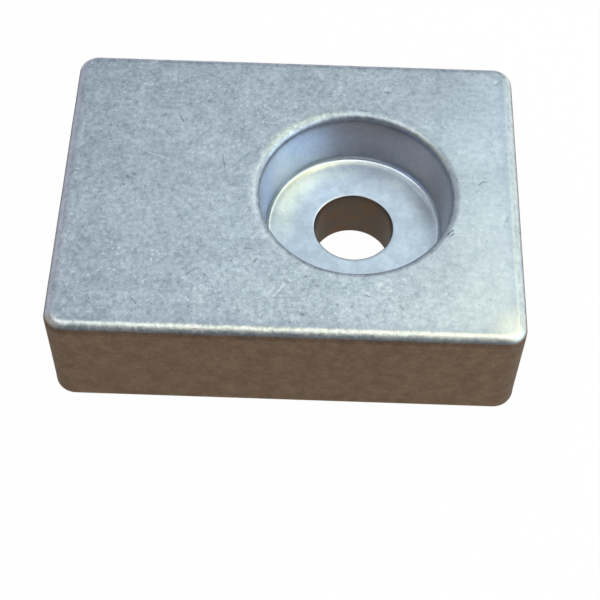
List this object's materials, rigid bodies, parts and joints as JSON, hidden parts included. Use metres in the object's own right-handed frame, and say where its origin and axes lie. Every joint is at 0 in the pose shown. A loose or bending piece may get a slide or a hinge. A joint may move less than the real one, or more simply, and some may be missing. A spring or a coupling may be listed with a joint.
{
  "type": "sacrificial anode",
  "caption": "Small block-shaped zinc anode with rounded edges and a counterbored through hole set towards one end, bolted flat to underwater metal to corrode in its place.",
  "frame": {"origin": "on the axis of the fixing hole, in the plane of the mounting face", "axes": "+Z along the fixing hole, out of the counterbored pocket and away from the hull; +X along the block towards the end that lies nearer to the hole; +Y across the width"},
  "size_m": [0.0447, 0.0336, 0.012],
  "materials": {
    "cast_zinc": "as-cast, mottled blue-grey zinc with fine pits and a warmer, browner tone on the sides"
  },
  "bodies": {
    "root": {"anode": "cast_zinc"}
  },
  "joints": []
}
